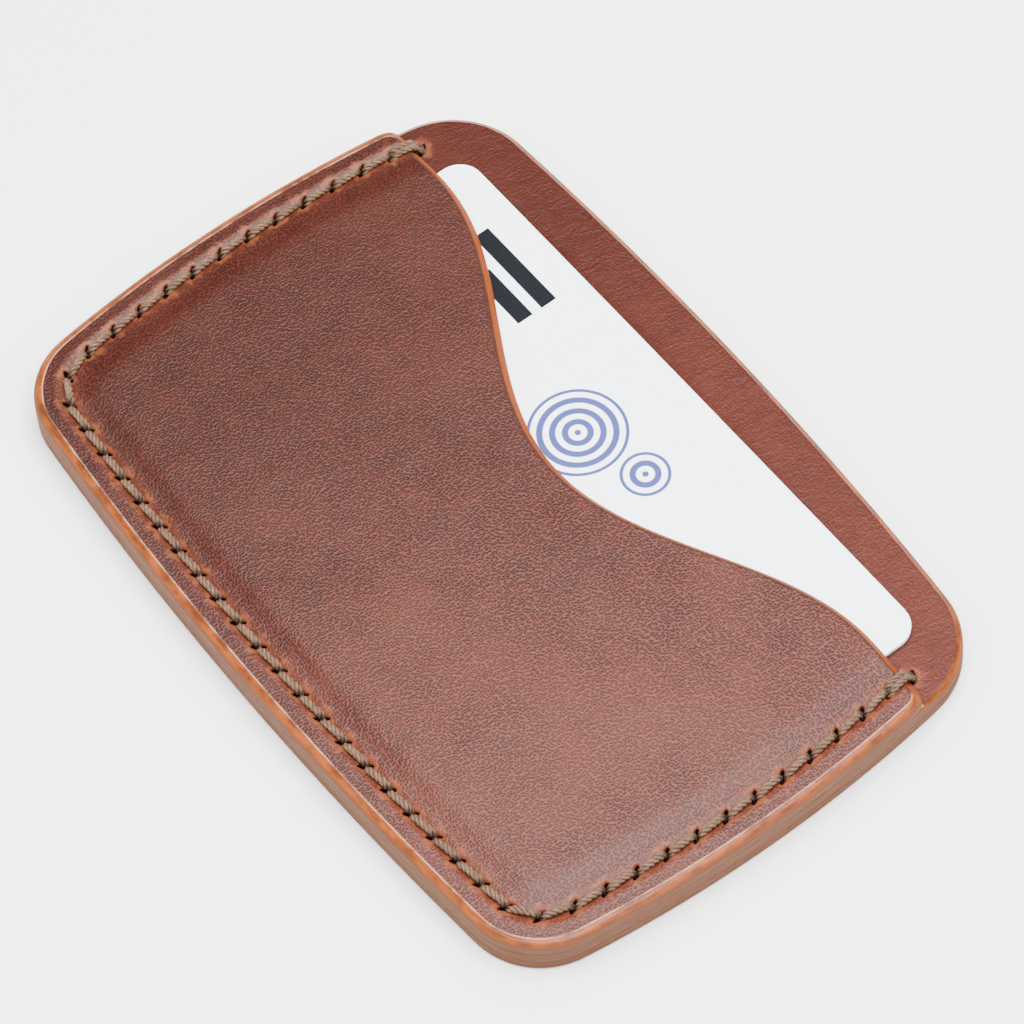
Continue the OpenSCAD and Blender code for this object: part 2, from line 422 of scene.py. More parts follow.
def triangulate(loop, points):
    """Triangles over the plan points inside the loop, and each output point's own number."""
    count = len(loop)
    edges = [(i, (i + 1) % count) for i in range(count)]
    result = geometry.delaunay_2d_cdt([Vector(p[:2]) for p in points], edges, [], 1, 1e-5, True)
    plan = np.array([v[:] for v in result[0]])
    triangles = np.array(result[2])
    triangles = triangles[inside(plan[triangles].mean(axis=1), loop)]
    a, b, c = (plan[triangles[:, i]] for i in range(3))
    area = np.cross(b - a, c - a)
    triangles[area < 0] = triangles[area < 0][:, ::-1]
    return plan, triangles.tolist(), [ids[0] for ids in result[3]]


def closed_solid(loop, points, upper, lower, wall):
    """Vertices and faces of a sheet between two surfaces. The wall gives a share of the way down
    and an outward bulge for each ring between the two rims. Also returns the plan point behind
    every upper and lower vertex, and its sink."""
    plan, triangles, source = triangulate(loop, points)
    sink = points[source, 2]
    count = len(plan)
    top = np.c_[plan, upper(plan, sink)]
    bottom = np.c_[plan, lower(plan, sink)]
    number = {own: i for i, own in enumerate(source)}
    rim = [number[i] for i in range(len(loop))]
    outward = -inward_normals(loop)
    rings, layers = [rim], [top, bottom]
    for share, bulge in wall:
        start = sum(map(len, layers))
        z = top[rim, 2] * (1 - share) + bottom[rim, 2] * share
        layers.append(np.c_[loop + outward * bulge, z])
        rings.append(list(range(start, start + len(loop))))
    rings.append([count + i for i in rim])
    faces = [tuple(t) for t in triangles] + [tuple(count + i for i in t[::-1]) for t in triangles]
    for a, b in zip(rings, rings[1:]):
        for i in range(len(loop)):
            j = (i + 1) % len(loop)
            faces.append((a[i], a[j], b[j], b[i]))
    return np.concatenate(layers), faces, plan, sink


LEATHER_STEP = 0.4
# The leather's wall, from its upper rim down: share of the way down, outward bulge
LEATHER_WALL = ((0.05, 0.02), (0.15, 0.032), (0.4, 0.035), (0.6, 0.035), (0.85, 0.032),
                (0.95, 0.02))


def leather_panel(name, node, loop, slits, surfaces, outer_bevel, material, mouth_share=None):
    """A closed leather panel with the attributes that its material is painted by."""
    points = plan_points(loop, slits)
    vertices, faces, plan, sink = closed_solid(loop, points, *surfaces, LEATHER_WALL)
    obj = new_object(name, vertices, faces, "wallet", material)
    flat = vertices[:, :2]
    wall_count = len(vertices) - 2 * len(plan)
    rim = Line(loop, closed=True).distance(flat)
    at_mouth = mouth_share(flat, rim) if mouth_share else np.zeros(len(flat))
    bevel_width = outer_bevel[0] + (MOUTH_BEVEL[0] - outer_bevel[0]) * at_mouth
    set_attribute(obj, "mouth", at_mouth)
    set_attribute(obj, "edge", np.clip(1 - rim / bevel_width, 0, 1))
    set_attribute(obj, "wall", np.arange(len(flat)) >= 2 * len(plan))
    set_attribute(obj, "seam", STITCHES.distance(flat))
    set_attribute(obj, "hole", hole_distance(flat))
    set_attribute(obj, "sink", np.concatenate([sink, sink, np.zeros(wall_count)]))
    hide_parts(node)


def bevel(rim, kind):
    """How far a face drops towards its rim: a blend of a chamfer and a round."""
    width, depth, chamfer = kind
    t = np.clip(1 - rim / width, 0, 1)
    return depth * (chamfer * t * smoothstep(0, 0.3, t) + (1 - chamfer) * (1 - np.sqrt(1 - t * t)))


def seal(rim):
    """How far a face is pressed on to the next panel at the burnished edge."""
    return SEAL_DEPTH * (1 - smoothstep(*SEAL_FADE, rim))


def arch(plan):
    """Rise of the card, and of the leather over and under it, along the wallet."""
    return CARD_ARCH * np.clip(1 - (plan[:, 0] / ARCH_HALF) ** 2, 0, 1)


def groove(plan):
    """How far the leather is drawn in under the stitches, with a low lip on each side."""
    seam = STITCHES.distance(plan)
    channel = GROOVE_DEPTH * np.exp(-(seam / GROOVE_W) ** 2)
    lips = LIP_RISE * np.exp(-((seam - LIP_PLACE) / LIP_W) ** 2)
    funnel = FUNNEL_DEPTH * np.exp(-(hole_distance(plan) / FUNNEL_R) ** 2)
    return channel + funnel - lips


def above_mouth(plan, low, high):
    """A share that rises from 0 to 1 between two heights over the mouth's ends."""
    return smoothstep(MOUTH_Y + low, MOUTH_Y + high, plan[:, 1])


def build_front_pocket(material):
    """The pocket swells over the card, is drawn in along the stitches and hollow underneath."""
    loop = resample(pocket_outline(EDGE_ROUND), LEATHER_STEP, closed=True)
    line = Line(loop, closed=True)

    def mouth_share(plan, rim):
        """Where the nearest rim is the mouth's, which is further from the wallet's edge."""
        return smoothstep(*MOUTH_BLEND, BODY_EDGE.distance(plan) - rim)

    def upper(plan, sink):
        rim, inset = line.distance(plan), BODY_EDGE.distance(plan)
        at_mouth = mouth_share(plan, rim)
        drop = (1 - at_mouth) * bevel(rim, SEWN_BEVEL) + at_mouth * bevel(rim, MOUTH_BEVEL)
        swell = ROOF_RISE + arch(plan) - ROOF_THINNED
        z = FLANGE_TOP + swell * smoothstep(*POCKET_SWELL, inset)
        z += sum(height * waves(plan, size, seed) for height, size, seed in POCKET_WAVES)
        return z - groove(plan) - drop - sink

    def lower(plan, sink):
        inset = BODY_EDGE.distance(plan)
        lift = (ROOF_RISE + arch(plan)) * smoothstep(*POCKET_HOLLOW, inset)
        return POCKET_LOW[2] + lift - seal(inset)

    leather_panel("front_pocket_leather", "front_pocket", loop, range(1, STITCH_COUNT),
                  (upper, lower), SEWN_BEVEL, material, mouth_share)


def build_middle_panel(material):
    """The panel behind the card, bevelled where it's bare above the pocket's mouth."""
    height, size, seed = BARE_WAVES
    loop = resample(outline(EDGE_ROUND), LEATHER_STEP, closed=True)

    def upper(plan, sink):
        inset = BODY_EDGE.distance(plan)
        bare = above_mouth(plan, *BARE_STRETCH)
        z = MIDDLE_HIGH[2] + arch(plan) * smoothstep(*MIDDLE_SWELL, inset)
        z += (1 - bare) * seal(inset)
        z += bare * height * waves(plan, size, seed) * smoothstep(*BARE_WAVES_FADE, inset)
        return z - bare * bevel(inset, BARE_BEVEL) - sink

    def lower(plan, sink):
        inset = BODY_EDGE.distance(plan)
        free = above_mouth(plan, *REAR_MOUTH)
        return MIDDLE_LOW[2] - (1 - free) * seal(inset) + free * bevel(inset, INNER_BEVEL)

    leather_panel("middle_panel_leather", "middle_panel", loop, (0, STITCH_COUNT),
                  (upper, lower), BARE_BEVEL, material)


def build_back_panel(material):
    """The rear panel. Its outer face has a deep groove, so that the stitches don't stick out."""
    loop = resample(outline(EDGE_ROUND), LEATHER_STEP, closed=True)

    def upper(plan, sink):
        inset = BODY_EDGE.distance(plan)
        return BACK_HIGH[2] - above_mouth(plan, *REAR_MOUTH) * bevel(inset, INNER_BEVEL)

    def lower(plan, sink):
        inset = BODY_EDGE.distance(plan)
        drawn_in = BACK_GROOVE * np.maximum(groove(plan), 0)
        return BACK_LOW[2] + bevel(inset, BACK_BEVEL) + drawn_in + sink

    leather_panel("back_panel_leather", "back_panel", loop, range(STITCH_COUNT + 1),
                  (upper, lower), BACK_BEVEL, material)


# ---------------------------------------------------------------- thread
def path_frame(path):
    """Unit vectors to the left of and up from each point of a path of 3D points."""
    tangent = np.gradient(path, axis=0)
    tangent /= np.linalg.norm(tangent, axis=1)[:, None]
    left = np.cross([0, 0, 1], tangent)
    left /= np.maximum(np.linalg.norm(left, axis=1), 1e-6)[:, None]
    return left, np.cross(tangent, left)


def tube(path, radius):
    """Rings of a tube round a path of 3D points."""
    left, up = path_frame(path)
    turn = 2 * math.pi * np.arange(PLY_SIDES) / PLY_SIDES
    across, upwards = np.cos(turn)[None, :, None], np.sin(turn)[None, :, None]
    ring = across * left[:, None] + upwards * up[:, None]
    return path[:, None] + ring * np.reshape(radius, (-1, 1, 1))


def spline(points, count):
    """A smooth path through points, by Catmull-Rom pieces of equal share."""
    p = np.asarray(points, float)
    p = np.concatenate([[2 * p[0] - p[1]], p, [2 * p[-1] - p[-2]]])
    out = []
    for t in np.linspace(0, len(p) - 3 - 1e-9, count):
        i, f = int(t), t - int(t)
        a, b, c, d = p[i:i + 4]
        out.append(0.5 * (2 * b + (c - a) * f + (2 * a - 5 * b + 4 * c - d) * f ** 2
                          + (3 * b - a - 3 * c + d) * f ** 3))
    return np.array(out)


class Strand:
    """Collects the plies of a twisted thread into one mesh."""

    def __init__(self):
        self.vertices, self.faces, self.uv = [], [], []
        self.total = 0

    def add(self, path, phase, thick):
        """One twisted length along a path, with plump or thin places given by thick."""
        run = distance_along(path)
        left, up = path_frame(path)
        orbit = (PLY_ORBIT * thick)[:, None]
        for ply in range(PLIES):
            angle = phase + 2 * math.pi * (run / TWIST_LENGTH + ply / PLIES)
            centre = path + orbit * (np.cos(angle)[:, None] * left * PLY_SPREAD
                                     + np.sin(angle)[:, None] * up * PLY_LIFT)
            self.add_rings(tube(centre, PLY_R * thick), run, ply)

    def add_rings(self, rings, run, ply):
        """One ply, closed at both ends."""
        count, sides = rings.shape[:2]
        base = self.total
        self.vertices.append(rings.reshape(-1, 3))
        around = np.tile(np.arange(sides) / sides, count) + ply
        self.uv.append(np.stack([around, np.repeat(run, sides)], 1))
        for i in range(count - 1):
            for j in range(sides):
                k = (j + 1) % sides
                a = base + i * sides
                self.faces.append((a + j, a + k, a + sides + k, a + sides + j))
        self.faces.append(tuple(base + j for j in range(sides))[::-1])
        self.faces.append(tuple(base + (count - 1) * sides + j for j in range(sides)))
        self.total += count * sides


def left_of(a, b):
    """Unit vector in the plan, to the left of the way from a to b."""
    along = b - a
    along /= np.linalg.norm(along)
    return np.array([-along[1], along[0]])


def stitch_path(a, b, z, side, slant):
    """The path of one stitch over a face at height z. side is 1 on the front, -1 on the back."""
    aside = left_of(a, b) * slant
    start, end = a - aside, b + aside

    def at(share, height):
        p = start + (end - start) * share
        return [p[0], p[1], z + side * height]

    # Each point is a share of the way along the stitch and a height over the face
    return spline([at(0.04, -1.0), at(0.06, -0.5), at(0.15, -0.06), at(0.36, 0.15), at(0.64, 0.2),
                   at(0.85, 0.1), at(0.95, -0.35), at(0.97, -1.0)], STITCH_POINTS)


def end_stitch_path(outer, inner_hole, shift):
    """The last stitch at an end, from the border over the pocket's edge to the middle panel."""
    aside = left_of(inner_hole, outer) * shift
    a, b = inner_hole + aside, outer + aside

    def at(share, z):
        p = a + (b - a) * share
        return [p[0], p[1], z]

    border, body = FLANGE_TOP, MIDDLE_HIGH[2]
    return spline([at(-0.02, border - 1.0), at(0.0, border - 0.4), at(0.15, border + 0.1),
                   at(0.42, border + 0.3), at(0.68, border + 0.1), at(0.84, body + 0.95),
                   at(0.95, body + 0.35), at(1.03, body - 0.4), at(1.04, body - 1.0)],
                  END_STITCH_POINTS)


def build_thread(material):
    """Stitches that are thin at their holes and plump between them, each turned a little
    differently, and two end stitches side by side at each end."""
    front, back = Strand(), Strand()
    share = np.linspace(0, 1, STITCH_POINTS)
    plump = 0.5 + 0.54 * smoothstep(0.08, 0.42, share) - 0.36 * smoothstep(0.76, 0.98, share)
    even = np.full(END_STITCH_POINTS, END_THICK)
    for k in range(STITCH_COUNT):
        a, b = HOLES[k], HOLES[k + 1]
        wobble = noise.noise((k * 1.7, 3.1, 0.4))
        phase = 1.3 * k + wobble
        if 0 < k < STITCH_COUNT - 1:
            slant = FRONT_SLANT + SLANT_WOBBLE * wobble
            front.add(stitch_path(a, b, FLANGE_TOP, 1, slant), phase, plump)
        behind = stitch_path(a, b, BACK_LOW[2] + BACK_STITCH_RISE, -1, BACK_SLANT)
        back.add(behind, phase, plump * BACK_THICK)
    for outer, inner_hole in ((HOLES[0], HOLES[1]), (HOLES[-1], HOLES[-2])):
        for shift, phase in ((-END_SHIFT, 0.3), (END_SHIFT, 2.1)):
            front.add(end_stitch_path(outer, inner_hole, shift), phase, even)
    for name, strand in (("thread_front", front), ("thread_back", back)):
        vertices = np.concatenate(strand.vertices)
        obj = new_object(name, vertices, strand.faces, "wallet", material)
        uv = np.concatenate(strand.uv)
        set_attribute(obj, "hole", hole_distance(vertices[:, :2]))
        set_attribute(obj, "around", uv[:, 0])
        set_attribute(obj, "along", uv[:, 1])
        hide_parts("thread")


# ---------------------------------------------------------------- card
CARD_STEP, CARD_GRID, CARD_CORNER_STEPS = 0.6, 2.0, 14
CARD_RINGS = (0.25, 0.7)
CARD_GRID_FROM_RIM = 1.2


def card_outline():
    """The card's rounded rectangle about its own middle, clockwise."""
    corners = []
    for q in range(4):
        centre = ((1 if q < 2 else -1) * (CARD_W / 2 - CARD_CORNER_R),
                  (1 if q in (0, 3) else -1) * (CARD_H / 2 - CARD_CORNER_R))
        start, stop = q * math.pi / 2, (q + 1) * math.pi / 2
        corners.append(arc(centre, CARD_CORNER_R, start, stop, CARD_CORNER_STEPS))
    return resample(np.concatenate(corners), CARD_STEP, closed=True)


def build_card(material):
    """Core and films as one card, made about its own middle, then placed and arched."""
    loop = card_outline()
    grid = hex_grid(CARD_GRID)
    grid = grid[inside(grid, loop)]
    grid = grid[Line(loop, closed=True).distance(grid) > CARD_GRID_FROM_RIM]
    rim = loop + inward_normals(loop) * CARD_EDGE_ROUND
    points = np.concatenate([rim, *rim_rings(rim, CARD_RINGS), grid])
    points = np.c_[points, np.zeros(len(points))]

    def level(z):
        return lambda plan, sink: np.full(len(plan), z)

    wall = ((0.09, CARD_EDGE_ROUND), (0.91, CARD_EDGE_ROUND))
    own, faces, plan, _ = closed_solid(rim, points, level(CARD_TOP), level(CARD_BOTTOM), wall)
    c, s = math.cos(CARD_TURN), math.sin(CARD_TURN)
    x, y = CARD_X + c * own[:, 0] - s * own[:, 1], CARD_Y + s * own[:, 0] + c * own[:, 1]
    placed = np.stack([x, y, own[:, 2]], 1)
    placed[:, 2] += arch(placed)
    obj = new_object("card", placed, faces, "card", material)
    set_attribute(obj, "card_x", own[:, 0])
    set_attribute(obj, "card_y", own[:, 1])
    set_attribute(obj, "face_up", np.arange(len(own)) < len(plan))
    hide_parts("card_core", "card_front_film", "card_back_film")


# ---------------------------------------------------------------- materials
class Graph:
    """A short way to write shader nodes."""

    def __init__(self, name):
        self.material = bpy.data.materials.new(name)
        self.material.use_nodes = True
        self.tree = self.material.node_tree
        self.tree.nodes.clear()
        self.shader = self.node("ShaderNodeBsdfPrincipled")
        output = self.node("ShaderNodeOutputMaterial")
        self.tree.links.new(self.shader.outputs[0], output.inputs["Surface"])

    def node(self, kind, **settings):
        made = self.tree.nodes.new(kind)
        for key, value in settings.items():
            setattr(made, key, value)
        return made

    def plug(self, socket, value):
        if isinstance(value, bpy.types.NodeSocket):
            self.tree.links.new(value, socket)
        else:
            socket.default_value = value

    def set(self, name, value):
        self.plug(self.shader.inputs[name], value)

    def math(self, operation, a, b=0.0, clamp=False):
        made = self.node("ShaderNodeMath", operation=operation, use_clamp=clamp)
        self.plug(made.inputs[0], a)
        self.plug(made.inputs[1], b)
        return made.outputs[0]

    def plus(self, a, b):
        return self.math("ADD", a, b)

    def times(self, a, b):
        return self.math("MULTIPLY", a, b)

    def most(self, *values):
        """The largest of some values."""
        largest = values[0]
        for value in values[1:]:
            largest = self.math("MAXIMUM", largest, value)
        return largest

    def swing(self, value, width):
        """A pattern about 0.5 turned into one about 0, made this many times wider."""
        return self.times(self.math("SUBTRACT", value, 0.5), width)

    def axis(self, vector, name):
        made = self.node("ShaderNodeSeparateXYZ")
        self.plug(made.inputs[0], vector)
        return made.outputs[name]

    def attribute(self, name):
        return self.node("ShaderNodeAttribute", attribute_name=name).outputs["Fac"]

    def position(self, scale=(1, 1, 1)):
        """Object coordinates in millimetres, stretched by scale."""
        coordinates = self.node("ShaderNodeTexCoord").outputs["Object"]
        made = self.node("ShaderNodeMapping")
        self.plug(made.inputs["Vector"], coordinates)
        made.inputs["Scale"].default_value = [s / MM for s in scale]
        return made.outputs[0]

    def noise(self, vector, scale, detail=2.0, roughness=0.5, distortion=0.0):
        made = self.node("ShaderNodeTexNoise")
        self.plug(made.inputs["Vector"], vector)
        made.inputs["Scale"].default_value = scale
        made.inputs["Detail"].default_value = detail
        made.inputs["Roughness"].default_value = roughness
        made.inputs["Distortion"].default_value = distortion
        return made.outputs["Fac"]

    def cells(self, vector, scale):
        """Distance to the nearest point of a scattered pattern over the plan."""
        made = self.node("ShaderNodeTexVoronoi", voronoi_dimensions="2D")
        self.plug(made.inputs["Vector"], vector)
        made.inputs["Scale"].default_value = scale
        made.inputs["Randomness"].default_value = 0.85
        return made.outputs["Distance"]

    def remap(self, value, low, high, to_low=0.0, to_high=1.0, smooth=True):
        kind = "SMOOTHSTEP" if smooth else "LINEAR"
        made = self.node("ShaderNodeMapRange", interpolation_type=kind)
        for name, number in (("Value", value), ("From Min", low), ("From Max", high),
                             ("To Min", to_low), ("To Max", to_high)):
            self.plug(made.inputs[name], number)
        return made.outputs["Result"]

    def mix(self, share, a, b):
        made = self.node("ShaderNodeMix", data_type="RGBA")
        self.plug(made.inputs["Factor"], share)
        self.plug(made.inputs["A"], (*a, 1) if isinstance(a, tuple) else a)
        self.plug(made.inputs["B"], (*b, 1) if isinstance(b, tuple) else b)
        return made.outputs["Result"]

    def bump(self, height, distance, strength=1.0, under=None):
        made = self.node("ShaderNodeBump")
        made.inputs["Strength"].default_value = strength
        made.inputs["Distance"].default_value = distance
        self.plug(made.inputs["Height"], height)
        if under is not None:
            self.plug(made.inputs["Normal"], under)
        return made.outputs[0]


SCUFF_DARK = (0.10, 0.025, 0.011)
SCUFF_LIGHT = (0.18, 0.052, 0.021)
# Painted shade in creases: beside the thread, round each hole and along the mouth's edge
CREASE_SHADE = (0.035, 0.014, 0.008)
# Painted shade inside the stitch slits
SLIT_SHADE = (0.006, 0.003, 0.002)
BEVEL_DARK = (0.085, 0.021, 0.006)
BEVEL_LIGHT = (0.22, 0.05, 0.008)
MOUTH_DYE = (0.17, 0.029, 0.0008)
SIDE_DARK = (0.09, 0.035, 0.017)
SIDE_LIGHT = (0.13, 0.056, 0.028)
# Painted highlight: the pale line along the start of the bevel
LIP_HIGHLIGHT = (0.42, 0.23, 0.15)
LEFT_SHADE_DEPTH = 0.55       # how dark the painted shade to the left is, as a share of the darkest leather
UNEVEN_DEPTH = 0.06
SIDE_LINE_DEPTH = 0.012


class LeatherGraph(Graph):
    """A graph with the patterns and the painted shares that all the leather's parts use."""

    def __init__(self, name, grain_size):
        super().__init__(name)
        self.at = self.position()
        self.grain = self.pebbles(grain_size)
        self.mottle = self.noise(self.at, 0.3, 4.0, 0.6)
        self.streaks = self.noise(self.position((0.35, 0.35, 2.2)), 1.0, 4.0, 0.65)
        self.lines = self.noise(self.position((0.1, 0.1, 6.0)), 1.0, 4.0, 0.6)
        self.edge, self.wall, self.mouth = (self.attribute(n) for n in ("edge", "wall", "mouth"))
        frayed = self.swing(self.mottle, 0.35)
        self.on_bevel = self.remap(self.plus(self.edge, frayed), 0.08, 0.34)
        self.mouth_bevel = self.times(self.mouth, self.remap(self.edge, 0.0, 0.05))
        self.smooth = self.most(self.on_bevel, self.wall, self.mouth_bevel)
        self.flat = self.math("SUBTRACT", 1.0, self.smooth)

    def pebbles(self, size):
        """Height of leather grain, from 0 in a pore to 1 on the ridges between pores."""
        pores = self.cells(self.at, 1.0 / size)
        fine = self.noise(self.at, 1.7 / size, 1.0, 0.5)
        return self.remap(self.plus(pores, self.swing(fine, 0.45)), 0.05, 0.75, smooth=False)


def leather_face(g, dark, light, worn, pore_share):
    """Dark pores and lighter ridges, worn in clouds, under painted shade that darkens to the left.
    """
    clouds = g.noise(g.at, 0.045, 3.0, 0.5, 0.3)
    mottled = g.remap(g.mottle, 0.25, 0.75, 0.3, 0.7, smooth=False)
    face = g.mix(g.math("ADD", g.swing(g.grain, pore_share), mottled, clamp=True), dark, light)
    face = g.mix(g.times(g.remap(clouds, 0.45, 0.7), 0.3), face, worn)
    # Painted shade: the face darkens towards the left, broken up by the clouds
    shade_to_left = g.plus(g.axis(g.at, "X"), g.swing(clouds, 60.0))
    left_shade_colour = tuple(LEFT_SHADE_DEPTH * c for c in dark)
    return g.mix(g.remap(shade_to_left, -45, 50, 0.54, 0.0), face, left_shade_colour)


def leather_scuffs(g, face):
    """Scuffed tan leather round each slit, with painted shade in the crease beside the thread and
    round each hole.
    """
    hole, seam = g.attribute("hole"), g.attribute("seam")
    ragged = g.swing(g.noise(g.at, 0.9, 4.0, 0.65), 3.2)
    scuff = g.remap(g.plus(hole, ragged), 0.7, 1.7, 0.5, 0)
    band = g.remap(g.plus(seam, g.times(ragged, 0.5)), 0.5, 1.8, 0.4, 0)
    face = g.mix(band, face, SCUFF_DARK)
    face = g.mix(scuff, face, SCUFF_LIGHT)
    # painted shade beside the thread and round each hole
    face = g.mix(g.remap(seam, 0.3, 0.55, 0.5, 0.0), face, CREASE_SHADE)
    return g.mix(g.remap(hole, 0.35, 0.95, 0.55, 0.0), face, CREASE_SHADE)


def leather_rim(g, colour, lip_highlight_share):
    """A painted highlight: a pale line where the bevel starts. At the mouth it is a dark line of
    painted shade instead.
    """
    lip_highlight = g.times(g.remap(g.edge, 0.03, 0.1), g.remap(g.edge, 0.12, 0.26, lip_highlight_share, 0))
    lip_highlight = g.times(lip_highlight, g.math("SUBTRACT", 1.0, g.mouth))
    colour = g.mix(g.times(lip_highlight, g.remap(g.streaks, 0.35, 0.6, 0.2, 1.0)), colour, LIP_HIGHLIGHT)
    shadow = g.times(g.remap(g.edge, 0.0, 0.06), g.remap(g.edge, 0.16, 0.3, 0.9, 0.0))
    return g.mix(g.times(shadow, g.mouth), colour, CREASE_SHADE)


def leather_side(g, dyed):
    """The burnished side: grey-brown with thin lines along it, darker near the underside."""
    side = g.mix(g.remap(g.lines, 0.3, 0.7), SIDE_DARK, SIDE_LIGHT)
    side = g.mix(g.remap(g.streaks, 0.5, 0.78, 0.0, 0.55), side, BEVEL_DARK)
    side = g.mix(g.times(g.mouth, 0.9), side, dyed)
    return g.mix(g.remap(g.axis(g.at, "Z"), 1.5, 0.3, 0.0, 0.55), side, BEVEL_DARK)


def leather_roughness(g):
    """Ridges are a little glossier than pores, and the bevel than the worn side and mouth."""
    dull = g.most(g.wall, g.remap(g.edge, 0.45, 0.85), g.mouth_bevel)
    on_face = g.plus(g.remap(g.grain, 0, 1, 0.34, 0.28), g.times(g.mottle, 0.07))
    on_edge = g.plus(g.remap(g.streaks, 0.2, 0.8, 0.15, 0.25), g.times(dull, 0.55))
    return g.plus(g.times(on_face, g.flat), g.times(on_edge, g.smooth))


def leather_relief(g, grain_depth, wrinkle_depth):
    """Soft unevenness, wrinkles and grain on the face, and thin lines along the side."""
    uneven = g.bump(g.times(g.mottle, g.flat), UNEVEN_DEPTH * MM, 0.7)
    wrinkles = g.noise(g.position((1.4, 0.45, 1.0)), 1.0, 3.0, 0.55, 1.2)
    wrinkled = g.bump(g.times(wrinkles, g.flat), wrinkle_depth * MM, 1.0, uneven)
    pebbled = g.bump(g.times(g.grain, g.flat), grain_depth * MM, 1.0, wrinkled)
    return g.bump(g.times(g.lines, g.smooth), SIDE_LINE_DEPTH * MM, 0.8, pebbled)


def leather_material(name, dark, light, worn, grain_size, grain_depth, pore_share,
                     wrinkle_depth, lip_highlight_share, shine):
    """Waxed grain leather with a dyed bevel, a burnished side and scuffs round the stitches."""
    g = LeatherGraph(name, grain_size)
    face = leather_scuffs(g, leather_face(g, dark, light, worn, pore_share))
    dyed = g.mix(g.remap(g.streaks, 0.32, 0.68), BEVEL_DARK, BEVEL_LIGHT)
    dyed = g.mix(g.times(g.mouth, 0.8), dyed, MOUTH_DYE)
    colour = leather_rim(g, g.mix(g.on_bevel, face, dyed), lip_highlight_share)
    on_side = g.remap(g.plus(g.wall, g.edge), 0.6, 1.1)
    colour = g.mix(on_side, colour, leather_side(g, dyed))
    # painted shade inside the slits, darker where the leather sinks deeper
    colour = g.mix(g.remap(g.attribute("sink"), 0.02, 0.4), colour, SLIT_SHADE)
    g.set("Base Color", colour)
    g.set("Roughness", leather_roughness(g))
    g.set("Specular IOR Level", shine)
    g.set("Normal", leather_relief(g, grain_depth, wrinkle_depth))
    return g.material


FIBRE_DARK, FIBRE_LIGHT = (0.016, 0.008, 0.005), (0.19, 0.105, 0.062)
THREAD_DIRT = (0.05, 0.026, 0.016)
# Painted shade on the thread where it goes into a hole
THREAD_HOLE_SHADE = (0.012, 0.006, 0.004)


def thread_material():
    """Waxed linen: fibres run along each ply, darker where dirt has settled, with painted shade
    where it goes into the holes.
    """
    g = Graph("waxed_thread")
    where = g.node("ShaderNodeCombineXYZ")
    g.plug(where.inputs[0], g.times(g.attribute("around"), 9.0))
    g.plug(where.inputs[1], g.times(g.attribute("along"), 1.1))
    fibres = g.noise(where.outputs[0], 1.6, 4.0, 0.7)
    dirt = g.noise(g.position(), 0.5, 3.0, 0.6)
    colour = g.mix(g.remap(fibres, 0.3, 0.7), FIBRE_DARK, FIBRE_LIGHT)
    colour = g.mix(g.remap(dirt, 0.42, 0.72, 0.0, 0.6), colour, THREAD_DIRT)
    colour = g.mix(g.remap(g.attribute("hole"), 0.15, 0.75, 0.75, 0.0), colour, THREAD_HOLE_SHADE)
    g.set("Base Color", colour)
    g.set("Roughness", g.remap(fibres, 0.2, 0.8, 0.75, 0.5))
    g.set("Specular IOR Level", 0.35)
    g.set("Normal", g.bump(fibres, 0.07 * MM, 1.0))
    return g.material


# The card's print, about the card's own middle
BARS = ((-26.0, 21.6, 6.6), (-23.6, 18.1, 4.2))      # middle x and y, half the length
BAR_HALF_H = 1.1
ROSETTES = ((-3.0, 13.0, 6.0), (6.5, 15.5, 3.0))     # middle x and y, radius
RING_STEP = 1.5
PRINT_SOFT = 0.05         # half the width over which a bar's ink fades out
PAPER_DULL, PAPER_BRIGHT = (0.87, 0.93, 0.98), (0.885, 0.94, 0.985)
RING_BLUE = (0.002, 0.012, 0.15)
BAR_BLACK = (0.006, 0.007, 0.009)


def bar_ink(g, x, y, middle_x, middle_y, half_w):
    """1 inside a bar of the print, 0 outside."""
    over_x = g.math("SUBTRACT", g.math("ABSOLUTE", g.math("SUBTRACT", x, middle_x)), half_w)
    over_y = g.math("SUBTRACT", g.math("ABSOLUTE", g.math("SUBTRACT", y, middle_y)), BAR_HALF_H)
    return g.remap(g.most(over_x, over_y), -PRINT_SOFT, PRINT_SOFT, 1, 0)


def ring_ink(g, x, y, middle_x, middle_y, radius):
    """1 on the rings of a rosette, 0 between and outside them."""
    dx, dy = g.math("SUBTRACT", x, middle_x), g.math("SUBTRACT", y, middle_y)
    r = g.math("SQRT", g.plus(g.times(dx, dx), g.times(dy, dy)))
    share = g.math("FRACT", g.math("DIVIDE", r, RING_STEP))
    stripe = g.remap(g.math("ABSOLUTE", g.math("SUBTRACT", share, 0.5)), 0.2, 0.27)
    return g.times(stripe, g.remap(r, radius, radius + 0.08, 1, 0))


def card_material():
    """Glossy white card with a plain print: two bars and two rosettes of thin rings."""
    g = Graph("printed_card")
    x, y = g.attribute("card_x"), g.attribute("card_y")
    black = g.most(*(bar_ink(g, x, y, *bar) for bar in BARS))
    blue = g.most(*(ring_ink(g, x, y, *rosette) for rosette in ROSETTES))
    front = g.attribute("face_up")
    paper = g.mix(g.remap(g.noise(g.position(), 0.3, 2.0), 0.3, 0.7), PAPER_DULL, PAPER_BRIGHT)
    colour = g.mix(g.times(blue, g.times(front, 0.95)), paper, RING_BLUE)
    colour = g.mix(g.times(black, front), colour, BAR_BLACK)
    g.set("Base Color", colour)
    scratches = g.noise(g.position((4.0, 0.6, 1.0)), 1.0, 3.0, 0.6)
    g.set("Roughness", g.remap(scratches, 0.3, 0.8, 0.1, 0.16))
    g.set("Specular IOR Level", 0.35)
    g.set("Normal", g.bump(scratches, 0.004 * MM, 0.4))
    return g.material


